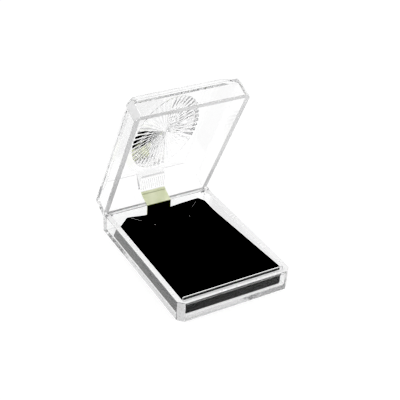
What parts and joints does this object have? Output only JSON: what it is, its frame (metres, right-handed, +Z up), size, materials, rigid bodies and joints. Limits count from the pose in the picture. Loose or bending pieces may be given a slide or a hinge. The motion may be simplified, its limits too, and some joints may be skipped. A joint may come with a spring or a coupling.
{
  "type": "hinged clear presentation box",
  "caption": "Clear hinged presentation box, open: chamfered tray with a sloping black flocked pad, raised faceted lid with an oval ray pattern, sprung metal leaf at the hinge.",
  "frame": {"origin": "middle of the tray's underside", "axes": "+Z up, -Y towards the front of the box, +Y towards the hinge, +X to the right seen from the front"},
  "size_m": [0.066, 0.1026, 0.0944],
  "materials": {
    "tray_clear": "clear injection-moulded polystyrene, polished",
    "lid_clear": "clear injection-moulded polystyrene, polished",
    "black_flock": "matt black flock",
    "green_brass": "pale greenish brass plate on spring strip",
    "pin_steel": "plain drawn wire"
  },
  "bodies": {
    "tray": {"base_tray": "tray_clear", "hinge_pin_left": "pin_steel", "hinge_pin_right": "pin_steel", "leaf_spring": "green_brass"},
    "lid": {"lid_shell": "lid_clear"},
    "pad": {"display_pad": "black_flock"}
  },
  "joints": [
    {"name": "lid_hinge", "type": "hinge", "parent": "tray", "child": "lid", "pos_m": [0, 0.04325, 0.0102], "axis": [-1, 0, 0], "range_deg": [-63.8, 0], "deforming": ["leaf_spring"]},
    {"name": "pad_lift", "type": "slide", "parent": "tray", "child": "pad", "axis": [0, 0, 1], "range_m": [0, 0.009]}
  ]
}
